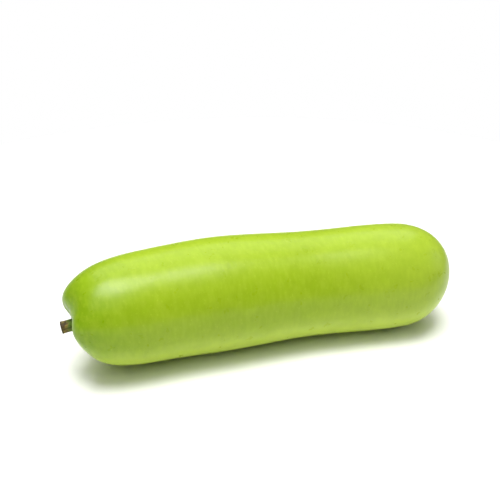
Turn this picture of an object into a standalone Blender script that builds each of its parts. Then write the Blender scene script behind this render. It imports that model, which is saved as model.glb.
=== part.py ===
"""Bottle gourd as picked: one fruit lying on its side, with the cut stub of its stalk.

Metres, +Z up. The fruit lies along X with its stalk end towards -X, and bows towards +Y.
The origin is on the surface it lies on, under the middle of the whole object.
"""

import math

import bmesh
import bpy
import numpy as np
from mathutils import Matrix, Vector

MM = 0.001

# The fruit before it is bowed: its length, and its radius at places along it (share of the
# length, radius), as a pair of callipers would read it.
FRUIT_LENGTH = 285.0 * MM
GIRTH = (
    (0.00, 41.5 * MM),
    (0.16, 39.7 * MM),
    (0.38, 41.7 * MM),
    (0.62, 39.0 * MM),
    (0.85, 39.4 * MM),
    (1.00, 35.0 * MM),
)
# Each end closes in a blunt dome: how long the dome is, and how square (2 is an ellipse).
STALK_DOME, STALK_SQUARENESS = 62.0 * MM, 2.57
BLOSSOM_DOME, BLOSSOM_SQUARENESS = 40.0 * MM, 2.36

# The spine bows sideways, most of all nearer the stalk.
BOW = 12.0 * MM
BOW_SKEW = -0.55

# The stalk end leans: its top and its +Y side are set back or forward by these angles.
STALK_LEAN_DOWN = math.radians(9.8)
STALK_LEAN_SIDE = math.radians(-13.2)
STALK_LEAN_REACH = 90.0 * MM
BLOSSOM_LEAN_DOWN = math.radians(-7.0)
BLOSSOM_LEAN_REACH = 60.0 * MM
LEAN_FADE = 1.5

# The stalk sits in a hollow, ringed by three blunt shoulders, one for each seed chamber.
HOLLOW_DEPTH, HOLLOW_WIDTH = 8.0 * MM, 8.6 * MM
SHOULDER_RADIUS, SHOULDER_WIDTH = 21.5 * MM, 10.0 * MM
SHOULDER_THREE, SHOULDER_THREE_AT = 2.0 * MM, math.radians(52)
SHOULDER_TWO, SHOULDER_TWO_AT = 0.9 * MM, math.radians(28)

# The blossom scar at the far end is a small pit.
SCAR_DEPTH, SCAR_WIDTH = 1.0 * MM, 4.5 * MM

# The fruit lies on its two swellings, which are slightly flattened where they touch.
REST_PLACES = (0.40, 0.81)
FLATTENING = 0.4 * MM

# Facets: rings along each dome and along the middle, and sides around.
STALK_RINGS, MIDDLE_RINGS, BLOSSOM_RINGS = 16, 24, 12
SIDES = 48

# The stalk stub: its radius at heights above the floor of the hollow, and its five ridges.
STUB_PROFILE = (
    (-4.0 * MM, 6.6 * MM),
    (0.8 * MM, 6.0 * MM),
    (2.2 * MM, 5.1 * MM),
    (4.2 * MM, 4.5 * MM),
    (8.0 * MM, 4.15 * MM),
    (11.6 * MM, 4.2 * MM),
    (13.0 * MM, 4.35 * MM),
    (13.6 * MM, 4.1 * MM),
    (13.7 * MM, 3.4 * MM),
    (13.3 * MM, 2.0 * MM),
)
STUB_SIDES = 40
RIDGES, RIDGE_SHARE = 5, 0.06
STUB_PITCH = math.radians(10)
STUB_YAW = math.radians(5)
GAP = 0.3 * MM


def smooth_curve(stations):
    """The natural cubic spline through (place, value) stations, as a function of the place."""
    places, values = (np.array(column) for column in zip(*stations))
    steps, slopes = np.diff(places), np.diff(values) / np.diff(places)
    rows, bends = np.eye(len(places)), np.zeros(len(places))
    for i in range(1, len(places) - 1):
        rows[i, i - 1 : i + 2] = steps[i - 1], 2 * (steps[i - 1] + steps[i]), steps[i]
        bends[i] = 6 * (slopes[i] - slopes[i - 1])
    bends = np.linalg.solve(rows, bends)

    def value(place):
        i = int(np.clip(np.searchsorted(places, place) - 1, 0, len(steps) - 1))
        past, left, step = place - places[i], places[i + 1] - place, steps[i]
        ends = values[i] * left + values[i + 1] * past
        curve = bends[i] * (left**3 / step - left * step) + bends[i + 1] * (
            past**3 / step - past * step
        )
        return float(ends / step + curve / 6)

    return value


girth_at = smooth_curve(GIRTH)


def dome_share(gone, length, squareness):
    """How far a dome has opened, from 0 at its tip to 1, at a distance behind the tip."""
    left = max(0.0, 1 - gone / length)
    return (1 - left**squareness) ** (1 / squareness)


def radius_at(x):
    """The radius of the straight fruit at x from its stalk end."""
    stalk = dome_share(x, STALK_DOME, STALK_SQUARENESS)
    blossom = dome_share(FRUIT_LENGTH - x, BLOSSOM_DOME, BLOSSOM_SQUARENESS)
    return girth_at(x / FRUIT_LENGTH) * stalk * blossom


def dome_places(length, squareness, rings):
    """Distances behind a dome's tip at which its rings lie, even in radius near the tip."""
    opened = [math.sin(math.pi / 2 * i / rings) for i in range(rings + 1)]
    return [length * (1 - (1 - s**squareness) ** (1 / squareness)) for s in opened]


def ring_places():
    """Where the rings of the fruit lie, from the stalk end to the blossom end."""
    stalk = dome_places(STALK_DOME, STALK_SQUARENESS, STALK_RINGS)
    blossom = dome_places(BLOSSOM_DOME, BLOSSOM_SQUARENESS, BLOSSOM_RINGS)
    middle = FRUIT_LENGTH - BLOSSOM_DOME - STALK_DOME
    between = [STALK_DOME + middle * i / MIDDLE_RINGS for i in range(1, MIDDLE_RINGS)]
    return stalk + between + [FRUIT_LENGTH - gone for gone in reversed(blossom)]


def spine_height(x):
    """The height of the spine, which carries both swellings down onto the surface."""
    (x0, z0), (x1, z1) = (
        (share * FRUIT_LENGTH, radius_at(share * FRUIT_LENGTH) - FLATTENING)
        for share in REST_PLACES
    )
    return z0 + (x - x0) * (z1 - z0) / (x1 - x0)


def spine_bow(x):
    """The spine's sideways place at x, and its slope there."""
    u = 2 * x / FRUIT_LENGTH - 1
    place = BOW * (1 - u * u) * (1 + BOW_SKEW * u)
    slope = BOW * (BOW_SKEW * (1 - u * u) - 2 * u * (1 + BOW_SKEW * u))
    return place, slope * 2 / FRUIT_LENGTH


def fade(distance, reach):
    """1 at an end of the fruit, falling smoothly to 0 at reach from it."""
    return max(0.0, 1 - distance / reach) ** LEAN_FADE


def bell(distance, width):
    return math.exp(-((distance / width) ** 2))


def stalk_end_shift(x, r, angle):
    """How far the hollow and its shoulders move a point of the stalk end along X."""
    hollow = HOLLOW_DEPTH * bell(r, HOLLOW_WIDTH)
    lobes = SHOULDER_THREE * math.cos(3 * (angle - SHOULDER_THREE_AT))
    lobes += SHOULDER_TWO * math.cos(2 * (angle - SHOULDER_TWO_AT))
    lobes *= bell(r - SHOULDER_RADIUS, SHOULDER_WIDTH)
    return fade(x, STALK_LEAN_REACH) * (hollow - lobes)


def grown(straight):
    """Where a point of the straight, turned fruit ends up on the bowed and leaning one."""
    x, r = straight.x, math.hypot(straight.y, straight.z)
    angle = math.atan2(straight.z, straight.y)
    bow, slope = spine_bow(x)
    across = Vector((-slope, 1, 0)).normalized()
    offset = across * straight.y + Vector((0, 0, straight.z))
    shift = stalk_end_shift(x, r, angle)
    lean = math.tan(STALK_LEAN_DOWN) * offset.z + math.tan(STALK_LEAN_SIDE) * offset.y
    shift -= fade(x, STALK_LEAN_REACH) * lean
    behind = FRUIT_LENGTH - x
    shift -= fade(behind, BLOSSOM_LEAN_REACH) * math.tan(BLOSSOM_LEAN_DOWN) * offset.z
    if behind < BLOSSOM_DOME:
        shift -= SCAR_DEPTH * bell(r, SCAR_WIDTH)
    place = Vector((x + shift, bow, spine_height(x))) + offset
    place.z = max(place.z, 0.0)
    return place


def turned(profile, sides):
    """A closed solid turned about X from (x, radius) points that start and end on the axis."""
    bm = bmesh.new()
    line = [bm.verts.new((x, 0, r)) for x, r in profile]
    edges = [bm.edges.new(pair) for pair in zip(line, line[1:])]
    bmesh.ops.spin(
        bm,
        geom=line + edges,
        cent=(0, 0, 0),
        axis=(1, 0, 0),
        angle=math.tau,
        steps=sides,
        use_merge=True,
    )
    bmesh.ops.remove_doubles(bm, verts=bm.verts, dist=0.001 * MM)
    return bm


def finish_object(bm, name, material):
    """Makes the mesh into a smooth-shaded object with its own material."""
    bmesh.ops.recalc_face_normals(bm, faces=bm.faces)
    mesh = bpy.data.meshes.new(name)
    bm.to_mesh(mesh)
    bm.free()
    mesh.shade_smooth()
    mesh.materials.append(material)
    obj = bpy.data.objects.new(name, mesh)
    bpy.context.scene.collection.objects.link(obj)
    return obj


def principled(name, colour, roughness):
    """A plain dielectric material from an sRGB colour in linear values."""
    material = bpy.data.materials.new(name)
    material.use_nodes = True
    shader = material.node_tree.nodes["Principled BSDF"]
    shader.inputs["Base Color"].default_value = (*colour, 1)
    shader.inputs["Roughness"].default_value = roughness
    shader.inputs["Metallic"].default_value = 0.0
    return material


def make_fruit():
    """The fruit: turned about its spine, then bowed, leaned and hollowed."""
    profile = [(x, radius_at(x)) for x in ring_places()]
    bm = turned(profile, SIDES)
    for vert in bm.verts:
        vert.co = grown(vert.co)
    return finish_object(bm, "fruit", principled("gourd_skin", (0.34, 0.54, 0.03), 0.38))


def stub_axis():
    """The direction in which the stub points, away from the fruit."""
    level = math.cos(STUB_PITCH)
    return Vector(
        (-level * math.cos(STUB_YAW), level * math.sin(STUB_YAW), -math.sin(STUB_PITCH))
    )


def make_stem(fruit):
    """The stalk stub: a ridged, flared peg whose foot follows the hollow it grows from."""
    heights = [(STUB_PROFILE[0][0], 0.0), *STUB_PROFILE, (STUB_PROFILE[-1][0], 0.0)]
    bm = turned(heights, STUB_SIDES)
    for vert in bm.verts:
        angle = math.atan2(vert.co.z, vert.co.y)
        vert.co.yz *= 1 + RIDGE_SHARE * math.cos(RIDGES * angle)
    turn = Vector((1, 0, 0)).rotation_difference(stub_axis()).to_matrix().to_4x4()
    floor = grown(Vector((0, 0, 0)))
    bmesh.ops.transform(bm, matrix=Matrix.Translation(floor) @ turn, verts=bm.verts)
    stem = finish_object(bm, "stem", principled("cut_stalk", (0.14, 0.12, 0.03), 0.8))
    fit = stem.modifiers.new("foot", "BOOLEAN")
    fit.operation = "DIFFERENCE"
    fit.solver = "EXACT"
    fit.object = fruit_cutter(fruit)
    return stem


def fruit_cutter(fruit):
    """The fruit grown by the gap that its neighbours keep from it."""
    mesh = fruit.data.copy()
    moved = [vert.co + vert.normal * GAP for vert in mesh.vertices]
    for vert, place in zip(mesh.vertices, moved):
        vert.co = place
    cutter = bpy.data.objects.new("fruit_clearance", mesh)
    cutter.hide_render = True
    cutter.display_type = "WIRE"
    bpy.context.scene.collection.objects.link(cutter)
    return cutter


def centre_on_floor(objects):
    """Hangs the objects on an empty, so that the origin is under the middle of their box."""
    corners = np.array([v.co for obj in objects[:2] for v in obj.data.vertices])
    low, high = corners.min(axis=0), corners.max(axis=0)
    frame = bpy.data.objects.new("bottle_gourd", None)
    bpy.context.scene.collection.objects.link(frame)
    frame.location = (-(low[0] + high[0]) / 2, -(low[1] + high[1]) / 2, -low[2])
    for obj in objects:
        obj.parent = frame


def main():
    for obj in list(bpy.data.objects):
        bpy.data.objects.remove(obj)
    fruit = make_fruit()
    stem = make_stem(fruit)
    centre_on_floor([fruit, stem, bpy.data.objects["fruit_clearance"]])


main()
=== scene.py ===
"""Bottle gourd as picked: the fruit in its waxy green skin, with the cut stub of its stalk.

Laid out as an add-on with an operator for each piece and one for the stage, and run as a
script. Metres, +Z up. The fruit lies along X with its stalk end towards -X, and bows towards
+Y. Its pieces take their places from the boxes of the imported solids.
"""

import math

import bmesh
import bpy
import numpy as np
from bpy.props import FloatProperty, FloatVectorProperty, PointerProperty
from mathutils import Matrix, Vector, noise


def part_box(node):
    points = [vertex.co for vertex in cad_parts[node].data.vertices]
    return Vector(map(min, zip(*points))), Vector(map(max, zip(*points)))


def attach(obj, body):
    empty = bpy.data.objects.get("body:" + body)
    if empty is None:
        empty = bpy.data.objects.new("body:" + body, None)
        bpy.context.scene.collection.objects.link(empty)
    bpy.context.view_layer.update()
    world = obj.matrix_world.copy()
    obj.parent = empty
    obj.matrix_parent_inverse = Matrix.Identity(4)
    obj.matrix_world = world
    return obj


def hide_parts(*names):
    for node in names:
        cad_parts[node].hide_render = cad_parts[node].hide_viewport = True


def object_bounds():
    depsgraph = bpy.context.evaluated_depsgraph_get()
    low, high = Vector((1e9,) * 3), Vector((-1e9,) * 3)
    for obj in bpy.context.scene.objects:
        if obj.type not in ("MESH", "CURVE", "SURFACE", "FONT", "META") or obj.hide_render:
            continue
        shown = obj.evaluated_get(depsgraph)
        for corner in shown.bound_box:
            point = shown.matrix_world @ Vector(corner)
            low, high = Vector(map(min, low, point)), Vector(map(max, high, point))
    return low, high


bl_info = {
    "name": "Bottle Gourd",
    "version": (1, 0, 0),
    "blender": (4, 5, 0),
    "location": "3D View > Sidebar > Gourd",
    "description": "Models a bottle gourd as picked, with its cut stalk and a plain studio",
    "category": "Add Mesh",
}

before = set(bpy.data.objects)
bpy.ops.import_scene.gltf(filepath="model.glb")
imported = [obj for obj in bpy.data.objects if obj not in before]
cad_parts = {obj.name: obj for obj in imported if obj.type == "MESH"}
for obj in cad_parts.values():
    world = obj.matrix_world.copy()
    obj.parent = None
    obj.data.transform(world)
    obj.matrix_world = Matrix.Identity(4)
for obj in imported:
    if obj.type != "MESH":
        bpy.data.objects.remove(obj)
CAD_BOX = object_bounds()

MM = 0.001

# The fruit before it is bowed: its radius at places along it (share of the length, radius).
GIRTH = (
    (0.00, 41.5 * MM),
    (0.16, 39.7 * MM),
    (0.38, 41.7 * MM),
    (0.62, 39.0 * MM),
    (0.85, 39.4 * MM),
    (1.00, 35.0 * MM),
)
MEAN_RADIUS = 40.0 * MM

# Each end closes in a blunt dome: how long the dome is, and how square (2 is an ellipse).
STALK_DOME, STALK_SQUARENESS = 62.0 * MM, 2.57
BLOSSOM_DOME, BLOSSOM_SQUARENESS = 40.0 * MM, 2.36

# The spine bows most nearer the stalk, and the face of each end leans.
BOW_SKEW = -0.55
STALK_LEAN_DOWN = math.radians(9.8)
STALK_LEAN_SIDE = math.radians(-13.2)
STALK_LEAN_REACH = 90.0 * MM
BLOSSOM_LEAN_DOWN = math.radians(-7.0)
BLOSSOM_LEAN_REACH = 60.0 * MM
LEAN_FADE = 1.5

# The stalk sits in a hollow, ringed by three blunt shoulders, one for each seed chamber.
HOLLOW_WIDTH = 8.6 * MM
SHOULDER_RADIUS, SHOULDER_WIDTH = 21.5 * MM, 10.0 * MM
SHOULDER_THREE, SHOULDER_THREE_AT = 2.0 * MM, math.radians(52)
SHOULDER_TWO, SHOULDER_TWO_AT = 0.9 * MM, math.radians(28)

# Pleats run down into the hollow, one to each ridge of the stalk and a finer one between.
PLEAT_RADIUS, PLEAT_WIDTH = 9.0 * MM, 5.0 * MM
FINE_PLEAT_SHARE, FINE_PLEAT_TURN = 0.6, 1.0

# The blossom scar is a small corky button in a shallow pit.
SCAR_DEPTH, SCAR_WIDTH = 1.0 * MM, 4.5 * MM
BUTTON_HEIGHT, BUTTON_WIDTH = 0.5 * MM, 1.5 * MM

# The fruit lies on its two swellings, slightly flattened where they touch.
REST_PLACES = (0.40, 0.81)
FLATTENING = 0.4 * MM

# Slow dents in the skin, which fade out towards the ground.
DENT_SIZE = 33.0 * MM
DENT_FADE = 14.0 * MM

STALK_RINGS, MIDDLE_RINGS, BLOSSOM_RINGS = 60, 100, 44
SKIN_SIDES = 168

# The stalk stub: the radius of its flank at heights above the floor of the hollow, and the
# height of its cut face at distances from its axis, where the pith has sunk.
STUB_FLANK = (
    (-4.0 * MM, 6.6 * MM),
    (0.8 * MM, 6.0 * MM),
    (2.2 * MM, 5.1 * MM),
    (4.2 * MM, 4.5 * MM),
    (8.0 * MM, 4.15 * MM),
    (11.6 * MM, 4.2 * MM),
    (13.0 * MM, 4.3 * MM),
)
STUB_FACE = (
    (0.0 * MM, 12.3 * MM),
    (0.7 * MM, 12.6 * MM),
    (1.4 * MM, 13.1 * MM),
    (2.6 * MM, 13.25 * MM),
    (3.4 * MM, 13.45 * MM),
    (3.9 * MM, 13.5 * MM),
    (4.25 * MM, 13.25 * MM),
)
FLANK_RINGS, FACE_RINGS, STUB_SIDES = 44, 18, 120
RIDGES, RIDGE_SHARE, FURROW_SHARE = 5, 0.055, 0.02
BUNDLE_RADIUS, BUNDLE_WIDTH, BUNDLE_HEIGHT = 2.9 * MM, 0.55 * MM, 0.1 * MM
STUB_PITCH = math.radians(10)
STUB_YAW = math.radians(5)
STUB_TWIST = math.radians(12)
FIBRE_WIDTH, FIBRE_LENGTH, FIBRE_DEPTH = 0.45 * MM, 6.0 * MM, 0.06 * MM

# The cut is ragged: its height drops unevenly, and so does the flank within a reach of it.
RAGGED_DEPTH, RAGGED_SIZE, RAGGED_REACH = 0.7 * MM, 1.6 * MM, 2.0 * MM

# How far inside the rim of the cut face, and below its middle, a point still counts as on it.
RIM_MARGIN, FACE_MARGIN = 0.1 * MM, 0.01 * MM

# Where each point lies on the surface, carried by the meshes for their materials to read.
SKIN_PLACE, STALK_PLACE, STALK_FORM = "skin_place", "stalk_place", "stalk_form"

# The stage: a round floor in a white room, and lamps and a camera placed from the middle of
# the gourd's box.
FLOOR_RADIUS, FLOOR_SIDES, FLOOR_GAP = 0.5, 96, 0.05 * MM
ROOM_BRIGHTNESS = 1.0

# Each lamp's place and size: a softbox overhead, which makes the highlight, a scrim in front,
# and two white panels that the sides of the gourd reflect.
LAMPS = {
    "softbox": (Vector((-0.2, -0.25, 2.65)), (1.6, 1.35)),
    "scrim": (Vector((-0.6, -1.0, 2.4)), (2.6, 2.6)),
    "back_panel": (Vector((0.5, 1.55, 2.0)), (2.8, 1.8)),
    "side_panel": (Vector((2.6, -0.3, 0.8)), (1.5, 1.2)),
}
CAMERA_AZIMUTH, CAMERA_ELEVATION = math.radians(-17.9), math.radians(27)
CAMERA_ANGLE = math.radians(30)
CAMERA_DISTANCE = 0.674
CAMERA_AIM = Vector((-0.0042, 0.0090, 0.0285))

# A Mix node's sockets for colours: its factor, its two colours and its result.
SHARE, FROM, TO, RESULT = 0, 6, 7, 2

# A Map Range node that eases in and out at its ends.
SMOOTH = {"interpolation_type": "SMOOTHSTEP"}


def linear(code):
    """The linear RGBA values of an sRGB hex colour."""
    shares = [int(code[i : i + 2], 16) / 255 for i in (1, 3, 5)]
    return [*(s / 12.92 if s <= 0.04045 else ((s + 0.055) / 1.055) ** 2.4 for s in shares), 1.0]


def colour_property(name, description, code):
    return FloatVectorProperty(
        name=name, description=description, default=linear(code), subtype="COLOR", size=4
    )


def length_property(name, description, default):
    return FloatProperty(name=name, description=description, default=default, unit="LENGTH")


def power_property(name, description, default):
    return FloatProperty(name=name, description=description, default=default, unit="POWER")


class GourdShape(bpy.types.PropertyGroup):
    """Sizes of the fruit."""

    length: length_property("Length", "Length of the fruit before its ends lean", 285 * MM)
    bow: length_property("Bow", "How far the spine bows sideways", 12 * MM)
    hollow: length_property("Hollow", "Depth of the hollow round the stalk", 8 * MM)
    pleats: length_property("Pleats", "Depth of the pleats in the hollow", 0.35 * MM)
    dents: length_property("Dents", "Depth of the slow dents in the skin", 0.3 * MM)


class GourdSkin(bpy.types.PropertyGroup):
    """Colours of the skin."""

    # The hollow's dark green is partly the rind's deeper green and partly painted shade in the
    # recess.
    hollow: colour_property("Hollow", "Dark green of the hollow round the stalk", "#4a6a0e")
    stalk_end: colour_property("Stalk end", "Deeper green near the stalk", "#759b08")
    body: colour_property("Body", "Lime green of the middle", "#90ad19")
    # Painted light: a yellower, lighter green along the top, where the overhead light falls.
    painted_top_light: colour_property("Crown", "Yellower green along the top", "#9bb71d")
    blossom_end: colour_property("Blossom end", "Duller green at the far end", "#9fb933")
    # Paler underneath: partly the rind's own paler side, partly painted bounce light from the
    # floor.
    belly_and_bounce_light: colour_property("Belly", "Paler green of the side it lies on", "#c1d755")
    fleck: colour_property("Flecks", "Pale pores and dashes", "#c6da48")
    scar: colour_property("Scar", "Cork of the blossom scar", "#8d7440")


class GourdStalk(bpy.types.PropertyGroup):
    """Colours of the stalk stub."""

    green: colour_property("Green", "Live rind near the fruit", "#56701a")
    dried: colour_property("Dried", "Dried rind near the cut", "#7d6c30")
    stain: colour_property("Stain", "Brown stains and the edge of the cut", "#33230a")
    furrow: colour_property("Furrow", "Shade in the furrows", "#2c2a08")
    cut: colour_property("Cut", "Cut fibres", "#a58d55")
    pith: colour_property("Pith", "Pith in the middle of the cut", "#4c3c1a")


class GourdStage(bpy.types.PropertyGroup):
    """The plain studio round the gourd."""

    floor: colour_property("Floor", "Colour of the floor", "#f8f8f6")
    softbox: power_property("Softbox", "Power of the light overhead", 80)
    scrim: power_property("Scrim", "Power of the wide light in front", 27)
    back_panel: power_property("Back panel", "Power of the white panel behind", 30)
    side_panel: power_property("Side panel", "Power of the white panel at the side", 5.6)
    fill: FloatProperty(name="Fill", description="Strength of the light all round", default=0.1)


def smooth_curve(stations):
    """The natural cubic spline through (place, value) stations, as a function of the place."""
    places, values = (np.array(column) for column in zip(*stations))
    steps, slopes = np.diff(places), np.diff(values) / np.diff(places)
    rows, bends = np.eye(len(places)), np.zeros(len(places))
    for i in range(1, len(places) - 1):
        rows[i, i - 1 : i + 2] = steps[i - 1], 2 * (steps[i - 1] + steps[i]), steps[i]
        bends[i] = 6 * (slopes[i] - slopes[i - 1])
    bends = np.linalg.solve(rows, bends)

    def value(place):
        i = int(np.clip(np.searchsorted(places, place) - 1, 0, len(steps) - 1))
        past, left, step = place - places[i], places[i + 1] - place, steps[i]
        ends = values[i] * left + values[i + 1] * past
        curve = bends[i] * (left**3 / step - left * step) + bends[i + 1] * (
            past**3 / step - past * step
        )
        return float(ends / step + curve / 6)

    return value


girth_at = smooth_curve(GIRTH)


def bell(distance, width):
    return math.exp(-((distance / width) ** 2))


def fade(distance, reach):
    """1 at an end of the fruit, falling smoothly to 0 at reach from it."""
    return max(0.0, 1 - distance / reach) ** LEAN_FADE


def dome_share(gone, length, squareness):
    """How far a dome has opened, from 0 at its tip to 1, at a distance behind the tip."""
    left = max(0.0, 1 - gone / length)
    return (1 - left**squareness) ** (1 / squareness)


def dome_places(length, squareness, rings):
    """Distances behind a dome's tip at which its rings lie, even in radius near the tip."""
    opened = [math.sin(math.pi / 2 * i / rings) for i in range(rings + 1)]
    return [length * (1 - (1 - s**squareness) ** (1 / squareness)) for s in opened]


class Fruit:
    """The form of the fruit, which its skin and its stalk both follow."""

    def __init__(self, shape):
        self.shape = shape
        self.length = shape.length

    def radius(self, x):
        """The radius of the straight fruit at x from its stalk end."""
        stalk = dome_share(x, STALK_DOME, STALK_SQUARENESS)
        blossom = dome_share(self.length - x, BLOSSOM_DOME, BLOSSOM_SQUARENESS)
        return girth_at(x / self.length) * stalk * blossom

    def profile(self):
        """(x, radius) of each ring, from the stalk end to the blossom end."""
        stalk = dome_places(STALK_DOME, STALK_SQUARENESS, STALK_RINGS)
        blossom = dome_places(BLOSSOM_DOME, BLOSSOM_SQUARENESS, BLOSSOM_RINGS)
        middle = self.length - BLOSSOM_DOME - STALK_DOME
        between = [STALK_DOME + middle * i / MIDDLE_RINGS for i in range(1, MIDDLE_RINGS)]
        places = stalk + between + [self.length - gone for gone in reversed(blossom)]
        return [(x, self.radius(x)) for x in places]

    def spine_height(self, x):
        """The height of the spine, which carries both swellings down onto the surface."""
        (x0, z0), (x1, z1) = (
            (share * self.length, self.radius(share * self.length) - FLATTENING)
            for share in REST_PLACES
        )
        return z0 + (x - x0) * (z1 - z0) / (x1 - x0)

    def spine_bow(self, x):
        """The spine's sideways place at x, and its slope there."""
        bow = self.shape.bow
        u = 2 * x / self.length - 1
        place = bow * (1 - u * u) * (1 + BOW_SKEW * u)
        slope = bow * (BOW_SKEW * (1 - u * u) - 2 * u * (1 + BOW_SKEW * u))
        return place, slope * 2 / self.length

    def stalk_end_shift(self, x, r, angle):
        """How far the hollow, its pleats and its shoulders move a point along X."""
        hollow = self.shape.hollow * bell(r, HOLLOW_WIDTH)
        folds = math.cos(RIDGES * angle)
        folds += FINE_PLEAT_SHARE * math.cos(2 * RIDGES * angle + FINE_PLEAT_TURN)
        hollow += self.shape.pleats * folds * bell(r - PLEAT_RADIUS, PLEAT_WIDTH)
        lobes = SHOULDER_THREE * math.cos(3 * (angle - SHOULDER_THREE_AT))
        lobes += SHOULDER_TWO * math.cos(2 * (angle - SHOULDER_TWO_AT))
        lobes *= bell(r - SHOULDER_RADIUS, SHOULDER_WIDTH)
        return fade(x, STALK_LEAN_REACH) * (hollow - lobes)

    def grown(self, straight):
        """Where a point of the straight, turned fruit ends up on the bowed, leaning one."""
        x, r = straight.x, math.hypot(straight.y, straight.z)
        angle = math.atan2(straight.z, straight.y)
        bow, slope = self.spine_bow(x)
        across = Vector((-slope, 1, 0)).normalized()
        offset = across * straight.y + Vector((0, 0, straight.z))
        shift = self.stalk_end_shift(x, r, angle)
        lean = math.tan(STALK_LEAN_DOWN) * offset.z + math.tan(STALK_LEAN_SIDE) * offset.y
        shift -= fade(x, STALK_LEAN_REACH) * lean
        behind = self.length - x
        shift -= fade(behind, BLOSSOM_LEAN_REACH) * math.tan(BLOSSOM_LEAN_DOWN) * offset.z
        if behind < BLOSSOM_DOME:
            shift -= SCAR_DEPTH * bell(r, SCAR_WIDTH) - BUTTON_HEIGHT * bell(r, BUTTON_WIDTH)
        place = Vector((x + shift, bow, self.spine_height(x))) + offset
        place.z = max(place.z, 0.0)
        return place

    def to_frame(self):
        """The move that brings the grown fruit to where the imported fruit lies."""
        bm = turned(self.profile(), SKIN_SIDES)
        places = np.array([self.grown(vert.co) for vert in bm.verts])
        bm.free()
        low, high = places.min(axis=0), places.max(axis=0)
        want_low, want_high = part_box("fruit")
        scale = Matrix.Diagonal((*((np.array(want_high) - want_low) / (high - low)), 1))
        return Matrix.Translation(want_low) @ scale @ Matrix.Translation(-Vector(low))


def turned(profile, sides):
    """A closed solid turned about X from (x, radius) points that start and end on the axis."""
    bm = bmesh.new()
    line = [bm.verts.new((x, 0, r)) for x, r in profile]
    edges = [bm.edges.new(pair) for pair in zip(line, line[1:])]
    bmesh.ops.spin(
        bm,
        geom=line + edges,
        cent=(0, 0, 0),
        axis=(1, 0, 0),
        angle=math.tau,
        steps=sides,
        use_merge=True,
    )
    bmesh.ops.remove_doubles(bm, verts=bm.verts, dist=0.001 * MM)
    bmesh.ops.recalc_face_normals(bm, faces=bm.faces)
    return bm


def new_piece(bm, name, material, node):
    """Makes the mesh into a smooth-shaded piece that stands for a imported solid."""
    mesh = bpy.data.meshes.new(name)
    bm.to_mesh(mesh)
    bm.free()
    mesh.shade_smooth()
    mesh.materials.append(material)
    piece = bpy.data.objects.new(name, mesh)
    bpy.context.scene.collection.objects.link(piece)
    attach(piece, "root")
    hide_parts(node)
    return piece


def along_profile(profile):
    """The distance along the surface from the stalk end to each ring."""
    places, radii = np.array(profile).T
    return np.concatenate(([0.0], np.cumsum(np.hypot(np.diff(places), np.diff(radii)))))


def dent(place, normal, depth):
    """A point moved inwards by the slow dents, which fade out at the ground."""
    share = 0.5 + 0.5 * noise.noise(place / DENT_SIZE)
    share *= min(1.0, place.z / DENT_FADE)
    return place - normal * (depth * share)


def skin_mesh(fruit):
    """The skin: turned about its spine, grown into shape, set in the frame and dented."""
    profile = fruit.profile()
    places, along = [x for x, _ in profile], along_profile(profile)
    bm = turned(profile, SKIN_SIDES)
    layer = bm.verts.layers.float_vector.new(SKIN_PLACE)
    to_frame = fruit.to_frame()
    for vert in bm.verts:
        angle = math.atan2(vert.co.z, vert.co.y)
        around = Vector((math.cos(angle), math.sin(angle))) * MEAN_RADIUS
        vert[layer] = (np.interp(vert.co.x, places, along), *around)
        vert.co = to_frame @ fruit.grown(vert.co)
    bm.normal_update()
    moved = [dent(vert.co, vert.normal, fruit.shape.dents) for vert in bm.verts]
    for vert, place in zip(bm.verts, moved):
        vert.co = place
    return bm


def stub_axis():
    """The direction in which the stub points, away from the fruit."""
    level = math.cos(STUB_PITCH)
    return Vector(
        (-level * math.cos(STUB_YAW), level * math.sin(STUB_YAW), -math.sin(STUB_PITCH))
    )


def stub_profile():
    """(height, radius) of the stub's rings, from its root up its flank and over its cut."""
    radius_at, height_at = smooth_curve(STUB_FLANK), smooth_curve(STUB_FACE)
    low, high = STUB_FLANK[0][0], STUB_FLANK[-1][0]
    heights = np.linspace(low, high, FLANK_RINGS)
    radii = np.linspace(STUB_FACE[-1][0], 0.0, FACE_RINGS)
    flank = [(h, radius_at(h)) for h in heights]
    face = [(height_at(r), r) for r in radii]
    return [(low, 0.0), *flank, *face]


def stub_relief(place, tip):
    """A point of the stub after its ridges, fibres and sunken cut, and its crest share."""
    h, r = place.x, math.hypot(place.y, place.z)
    angle = math.atan2(place.z, place.y) + STUB_TWIST * h / tip
    crest = math.cos(RIDGES * angle)
    swell = RIDGE_SHARE * crest + FURROW_SHARE * math.cos(2 * RIDGES * angle)
    fibre = noise.noise(Vector((h / FIBRE_LENGTH, place.y / FIBRE_WIDTH, place.z / FIBRE_WIDTH)))
    r_new = r * (1 + swell) + FIBRE_DEPTH * fibre * min(1.0, r / BUNDLE_RADIUS)
    bundles = BUNDLE_HEIGHT * math.cos(2 * RIDGES * angle) * bell(r - BUNDLE_RADIUS, BUNDLE_WIDTH)
    near_cut = min(1.0, max(0.0, 1 - (STUB_FLANK[-1][0] - h) / RAGGED_REACH))
    torn = RAGGED_DEPTH * (0.5 + 0.5 * noise.noise(Vector((1, place.y, place.z)) / RAGGED_SIZE))
    ratio = r_new / r if r > 0 else 1.0
    moved = Vector((h + near_cut * (bundles - torn), place.y * ratio, place.z * ratio))
    return moved, crest


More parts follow.
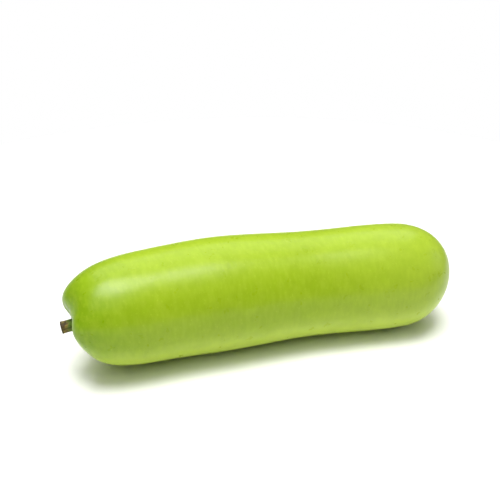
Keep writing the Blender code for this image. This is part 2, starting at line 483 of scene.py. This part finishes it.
def stub_mesh(fruit):
    """The stub: turned, ridged and torn, and set on the floor of the hollow."""
    profile = stub_profile()
    bm = turned(profile, STUB_SIDES)
    spots = bm.verts.layers.float_vector.new(STALK_PLACE)
    forms = bm.verts.layers.float_vector.new(STALK_FORM)
    tip = max(h for h, _ in profile)
    for vert in bm.verts:
        h, r = vert.co.x, math.hypot(vert.co.y, vert.co.z)
        above_middle = h > STUB_FACE[0][1] - FACE_MARGIN
        on_face = above_middle and r < STUB_FACE[-1][0] - RIM_MARGIN
        vert[spots] = vert.co
        moved, crest = stub_relief(vert.co, tip)
        vert[forms] = (0.5 + 0.5 * crest, float(on_face), r)
        vert.co = moved
    turn = Vector((1, 0, 0)).rotation_difference(stub_axis()).to_matrix().to_4x4()
    floor = fruit.to_frame() @ fruit.grown(Vector((0, 0, 0)))
    bmesh.ops.transform(bm, matrix=Matrix.Translation(floor) @ turn, verts=bm.verts)
    return bm


def per(millimetres):
    """The scale at which a pattern repeats over a real size."""
    return 1 / (millimetres * MM)


def add_node(tree, kind, inputs=None, output=0, **settings):
    """Adds a node with its settings, and returns one of its outputs.

    An input is a value, or the output of another node that feeds it.
    """
    node = tree.nodes.new("ShaderNode" + kind)
    for name, value in settings.items():
        setattr(node, name, value)
    for socket, value in (inputs or {}).items():
        if isinstance(value, bpy.types.NodeSocket):
            tree.links.new(value, node.inputs[socket])
        else:
            node.inputs[socket].default_value = value
    return node.outputs[output]


def new_material(name):
    """A material with a bare Principled shader: (material, its tree, its shader)."""
    material = bpy.data.materials.new(name)
    material.use_nodes = True
    return material, material.node_tree, material.node_tree.nodes["Principled BSDF"]


def rind_colour(tree, skin, place, total):
    """Green by place: deeper at the stalk and darkest in its hollow, duller at the blossom.

    It is also yellower and lighter along the top, which is painted light, and paler underneath,
    partly the rind's own paler side and partly painted bounce light from the floor. The dark
    green of the hollow is partly the rind's deeper green and partly painted shade in the recess.
    """
    # The height of each point as the fruit lies, made to waver so that no edge runs straight.
    lying = add_node(tree, "TexCoord", output="Object")
    height = add_node(tree, "SeparateXYZ", {0: lying}, "Z")
    waver = add_node(tree, "TexNoise", {"Vector": lying, "Scale": per(28), "Detail": 2.0})
    height = add_node(
        tree, "Math", {0: waver, 1: -16 * MM, 2: height}, operation="MULTIPLY_ADD"
    )
    # Painted light: the top is mixed towards a yellower, lighter green where the overhead light
    # falls.
    above = add_node(
        tree, "MapRange", {0: height, 1: 50 * MM, 2: 74 * MM, 3: 0.0, 4: 0.8}, **SMOOTH
    )
    colour = add_node(
        tree, "Mix", {SHARE: above, FROM: skin.body, TO: skin.painted_top_light}, RESULT, data_type="RGBA"
    )

    along = add_node(tree, "SeparateXYZ", {0: place})
    to_stalk = add_node(
        tree, "MapRange", {0: along, 1: 0.27 * total, 2: -0.02 * total}, **SMOOTH
    )
    colour = add_node(
        tree,
        "Mix",
        {SHARE: to_stalk, FROM: colour, TO: skin.stalk_end},
        RESULT,
        data_type="RGBA",
    )
    # Darker green in the hollow: partly the rind's deeper green, partly painted shade in the
    # recess.
    hollow_green_and_shade = add_node(
        tree, "MapRange", {0: along, 1: 12 * MM, 2: 5 * MM, 3: 0.0, 4: 0.6}, **SMOOTH
    )
    colour = add_node(
        tree, "Mix", {SHARE: hollow_green_and_shade, FROM: colour, TO: skin.hollow}, RESULT, data_type="RGBA"
    )
    to_end = add_node(tree, "MapRange", {0: along, 1: 0.55 * total, 2: 0.98 * total}, **SMOOTH)
    colour = add_node(
        tree,
        "Mix",
        {SHARE: to_end, FROM: colour, TO: skin.blossom_end},
        RESULT,
        data_type="RGBA",
    )
    # Paler underneath: partly the rind's own paler side, partly painted bounce light from the
    # floor.
    under = add_node(
        tree, "MapRange", {0: height, 1: 34 * MM, 2: -4 * MM, 3: 0.0, 4: 0.85}, **SMOOTH
    )
    return add_node(
        tree, "Mix", {SHARE: under, FROM: colour, TO: skin.belly_and_bounce_light}, RESULT, data_type="RGBA"
    )


def rind_material(skin, total):
    """Living gourd rind under its own thin wax: a broad, soft gloss over lime green.

    Slow clouding and short dashes round the girth keep the green from looking painted.
    """
    material, tree, shader = new_material("waxed_gourd_rind")
    place = add_node(tree, "Attribute", output="Vector", attribute_name=SKIN_PLACE)
    colour = rind_colour(tree, skin, place, total)

    # Slow clouding of the green, and finer clouding within it.
    clouds = add_node(tree, "TexNoise", {"Vector": place, "Scale": per(36), "Detail": 2.0})
    mottle = add_node(tree, "TexNoise", {"Vector": place, "Scale": per(7), "Detail": 3.0})

    # Dashes round the girth, drawn coarser than the real ones so that they show.
    dash_sizes = {1: (per(3), per(8), per(8))}
    dash_place = add_node(tree, "VectorMath", {0: place} | dash_sizes, operation="MULTIPLY")
    dashes = add_node(tree, "TexNoise", {"Vector": dash_place, "Scale": 1.0, "Detail": 3.0})

    # How light the green is: the clouding moves it either side of one.
    tone = add_node(tree, "Math", {0: clouds, 1: 0.16, 2: 0.81}, operation="MULTIPLY_ADD")
    tone = add_node(tree, "Math", {0: mottle, 1: 0.18, 2: tone}, operation="MULTIPLY_ADD")
    colour = add_node(tree, "HueSaturation", {"Value": tone, "Color": colour})

    # The dashes are yellower, and so are the pores, which are faint and drawn coarse too.
    pores = add_node(tree, "TexVoronoi", {"Vector": place, "Scale": per(3.2)})
    pore = add_node(tree, "MapRange", {0: pores, 1: 0.26, 2: 0.08, 3: 0.0, 4: 0.12}, **SMOOTH)
    marks = add_node(tree, "MapRange", {0: dashes, 1: 0.4, 2: 0.75, 3: 0.0, 4: 0.17})
    marks = add_node(tree, "Math", {0: marks, 1: pore}, operation="ADD")
    colour = add_node(
        tree, "Mix", {SHARE: marks, FROM: colour, TO: skin.fleck}, RESULT, data_type="RGBA"
    )

    # The blossom scar.
    along = add_node(tree, "SeparateXYZ", {0: place})
    ragged = add_node(
        tree, "Math", {0: mottle, 1: 1.6 * MM, 2: along}, operation="MULTIPLY_ADD"
    )
    scarred = add_node(
        tree, "MapRange", {0: ragged, 1: total - 2.2 * MM, 2: total - 0.8 * MM}, **SMOOTH
    )
    colour = add_node(
        tree, "Mix", {SHARE: scarred, FROM: colour, TO: skin.scar}, RESULT, data_type="RGBA"
    )
    tree.links.new(colour, shader.inputs["Base Color"])

    wax = add_node(tree, "MapRange", {0: mottle, 1: 0.3, 2: 0.7, 3: 0.27, 4: 0.33})
    tree.links.new(wax, shader.inputs["Roughness"])

    # Orange-peel unevenness with the dashes as faint welts.
    peel = add_node(tree, "TexNoise", {"Vector": place, "Scale": per(2.4), "Detail": 2.0})
    relief = add_node(tree, "Math", {0: dashes, 1: 0.5, 2: peel}, operation="MULTIPLY_ADD")
    normal = add_node(tree, "Bump", {"Height": relief, "Distance": 0.05 * MM, "Strength": 1.0})
    tree.links.new(normal, shader.inputs["Normal"])
    shader.inputs["IOR"].default_value = 1.34
    return material


def stalk_material(stalk):
    """Cut gourd stalk: ribbed living rind that has dried brown towards a fibrous cut."""
    material, tree, shader = new_material("dried_gourd_stalk")
    place = add_node(tree, "Attribute", output="Vector", attribute_name=STALK_PLACE)
    form = add_node(tree, "Attribute", output="Vector", attribute_name=STALK_FORM)
    height = add_node(tree, "SeparateXYZ", {0: place})
    crest = add_node(tree, "SeparateXYZ", {0: form})
    on_face = add_node(tree, "SeparateXYZ", {0: form}, "Y")
    distance = add_node(tree, "SeparateXYZ", {0: form}, "Z")
    fibre_sizes = {1: (per(5), per(0.4), per(0.4))}
    fibre_place = add_node(tree, "VectorMath", {0: place} | fibre_sizes, operation="MULTIPLY")
    fibres = add_node(tree, "TexNoise", {"Vector": fibre_place, "Scale": 1.0, "Detail": 4.0})
    blotch = add_node(tree, "TexNoise", {"Vector": place, "Scale": per(2.5), "Detail": 3.0})

    # Green near the fruit, dried towards the cut, with brown stains in the dried part.
    waver = add_node(
        tree, "Math", {0: blotch, 1: 7 * MM, 2: height}, operation="MULTIPLY_ADD"
    )
    dried = add_node(tree, "MapRange", {0: waver, 1: 10.5 * MM, 2: 13.5 * MM}, **SMOOTH)
    colour = add_node(
        tree, "Mix", {SHARE: dried, FROM: stalk.green, TO: stalk.dried}, RESULT, data_type="RGBA"
    )
    patches = add_node(tree, "TexNoise", {"Vector": place, "Scale": per(3.5), "Detail": 2.0})
    patches = add_node(tree, "Math", {0: patches, 1: dried}, operation="MULTIPLY")
    stained = add_node(tree, "MapRange", {0: patches, 1: 0.42, 2: 0.56, 4: 0.85}, **SMOOTH)
    colour = add_node(
        tree, "Mix", {SHARE: stained, FROM: colour, TO: stalk.stain}, RESULT, data_type="RGBA"
    )
    shaded = add_node(tree, "MapRange", {0: crest, 1: 0.4, 2: 0.0, 3: 0.0, 4: 0.6})
    colour = add_node(
        tree, "Mix", {SHARE: shaded, FROM: colour, TO: stalk.furrow}, RESULT, data_type="RGBA"
    )

    # The cut: pale fibres round a sunken pith, with a browned edge.
    sunk = add_node(tree, "MapRange", {0: distance, 1: 1.8 * MM, 2: 0.9 * MM}, **SMOOTH)
    face = add_node(
        tree, "Mix", {SHARE: sunk, FROM: stalk.cut, TO: stalk.pith}, RESULT, data_type="RGBA"
    )
    colour = add_node(
        tree, "Mix", {SHARE: on_face, FROM: colour, TO: face}, RESULT, data_type="RGBA"
    )
    edge = add_node(tree, "Math", {0: height, 1: distance}, operation="ADD")
    browned = add_node(
        tree, "MapRange", {0: edge, 1: 16.2 * MM, 2: 17.2 * MM, 4: 0.9}, **SMOOTH
    )
    colour = add_node(
        tree, "Mix", {SHARE: browned, FROM: colour, TO: stalk.stain}, RESULT, data_type="RGBA"
    )
    tone = add_node(tree, "MapRange", {0: fibres, 1: 0.3, 2: 0.7, 3: 0.72, 4: 1.28})
    colour = add_node(tree, "HueSaturation", {"Value": tone, "Color": colour})
    tree.links.new(colour, shader.inputs["Base Color"])
    normal = add_node(tree, "Bump", {"Height": fibres, "Distance": 0.15 * MM, "Strength": 1.0})
    tree.links.new(normal, shader.inputs["Normal"])
    shader.inputs["Roughness"].default_value = 0.72
    shader.inputs["IOR"].default_value = 1.45
    return material


class GOURD_OT_fruit(bpy.types.Operator):
    """Makes the fruit, with its hollow, shoulders, dents and blossom scar"""

    bl_idname = "gourd.fruit"
    bl_label = "Make Fruit"

    def execute(self, context):
        fruit = Fruit(context.scene.gourd_shape)
        total = along_profile(fruit.profile())[-1]
        material = rind_material(context.scene.gourd_skin, total)
        piece = new_piece(skin_mesh(fruit), "gourd_fruit", material, "fruit")
        return {"FINISHED"}


class GOURD_OT_stalk(bpy.types.Operator):
    """Makes the cut stub of the stalk on the floor of the hollow"""

    bl_idname = "gourd.stalk"
    bl_label = "Make Stalk Stub"

    def execute(self, context):
        fruit = Fruit(context.scene.gourd_shape)
        material = stalk_material(context.scene.gourd_stalk)
        piece = new_piece(stub_mesh(fruit), "stalk_stub", material, "stem")
        return {"FINISHED"}


def make_floor(settings):
    """A round matt floor, a hair below the fruit."""
    bm = bmesh.new()
    bmesh.ops.create_circle(bm, cap_ends=True, segments=FLOOR_SIDES, radius=FLOOR_RADIUS)
    bmesh.ops.translate(bm, verts=bm.verts, vec=(0, 0, -FLOOR_GAP))
    mesh = bpy.data.meshes.new("floor")
    bm.to_mesh(mesh)
    bm.free()
    material, _, shader = new_material("matt_white_paper")
    shader.inputs["Base Color"].default_value = settings.floor
    shader.inputs["Roughness"].default_value = 0.95
    shader.inputs["Specular IOR Level"].default_value = 0.1
    mesh.materials.append(material)
    floor = bpy.data.objects.new("floor", mesh)
    bpy.context.scene.collection.objects.link(floor)


def make_lamp(name, power, size, place, target):
    """A rectangular area light that faces the gourd."""
    light = bpy.data.lights.new(name, "AREA")
    light.shape = "RECTANGLE"
    light.size, light.size_y = size
    light.energy = power
    lamp = bpy.data.objects.new(name, light)
    lamp.location = target + place
    lamp.rotation_euler = (-place).to_track_quat("-Z", "Y").to_euler()
    bpy.context.scene.collection.objects.link(lamp)


def make_surround(settings):
    """Even light all round, which the camera sees as a white room."""
    world = bpy.data.worlds.new("white_room")
    world.use_nodes = True
    tree = world.node_tree
    seen = add_node(tree, "LightPath", output="Is Camera Ray")
    strength = add_node(tree, "MapRange", {0: seen, 3: settings.fill, 4: ROOM_BRIGHTNESS})
    tree.links.new(strength, tree.nodes["Background"].inputs["Strength"])
    tree.nodes["Background"].inputs["Color"].default_value = linear("#ffffff")
    bpy.context.scene.world = world


def make_camera(target):
    """A camera on the stalk end's side, looking down a little."""
    data = bpy.data.cameras.new("camera")
    data.angle = CAMERA_ANGLE
    camera = bpy.data.objects.new("camera", data)
    level = math.cos(CAMERA_ELEVATION)
    away = Vector(
        (
            math.sin(CAMERA_AZIMUTH) * level,
            -math.cos(CAMERA_AZIMUTH) * level,
            math.sin(CAMERA_ELEVATION),
        )
    )
    camera.location = target + CAMERA_AIM + away * CAMERA_DISTANCE
    camera.rotation_euler = (-away).to_track_quat("-Z", "Y").to_euler()
    bpy.context.scene.collection.objects.link(camera)
    bpy.context.scene.camera = camera


class GOURD_OT_stage(bpy.types.Operator):
    """Makes the floor, the lamps, the even light all round and the camera"""

    bl_idname = "gourd.stage"
    bl_label = "Make Stage"

    def execute(self, context):
        settings = context.scene.gourd_stage
        middle = (CAD_BOX[0] + CAD_BOX[1]) / 2
        make_floor(settings)
        for name, (place, size) in LAMPS.items():
            make_lamp(name, getattr(settings, name), size, place, middle)
        make_surround(settings)
        make_camera(middle)
        context.scene.view_settings.view_transform = "Standard"
        return {"FINISHED"}


OPERATORS = (GOURD_OT_fruit, GOURD_OT_stalk, GOURD_OT_stage)
SETTINGS = {
    "gourd_shape": GourdShape,
    "gourd_skin": GourdSkin,
    "gourd_stalk": GourdStalk,
    "gourd_stage": GourdStage,
}


class GOURD_PT_panel(bpy.types.Panel):
    """Lists the gourd's sizes and colours, and the operators that make it"""

    bl_idname = "GOURD_PT_panel"
    bl_label = "Bottle Gourd"
    bl_space_type = "VIEW_3D"
    bl_region_type = "UI"
    bl_category = "Gourd"

    def draw(self, context):
        for name in SETTINGS:
            group = getattr(context.scene, name)
            box = self.layout.box()
            for key in group.__annotations__:
                box.prop(group, key)
        for operator in OPERATORS:
            self.layout.operator(operator.bl_idname)


def register():
    for cls in (*SETTINGS.values(), *OPERATORS, GOURD_PT_panel):
        bpy.utils.register_class(cls)
    for name, group in SETTINGS.items():
        setattr(bpy.types.Scene, name, PointerProperty(type=group))


def unregister():
    for name in SETTINGS:
        delattr(bpy.types.Scene, name)
    for cls in (GOURD_PT_panel, *reversed(OPERATORS), *SETTINGS.values()):
        bpy.utils.unregister_class(cls)


def main():
    register()
    bpy.ops.gourd.fruit()
    bpy.ops.gourd.stalk()
    bpy.ops.gourd.stage()


if __name__ == "__main__":
    main()
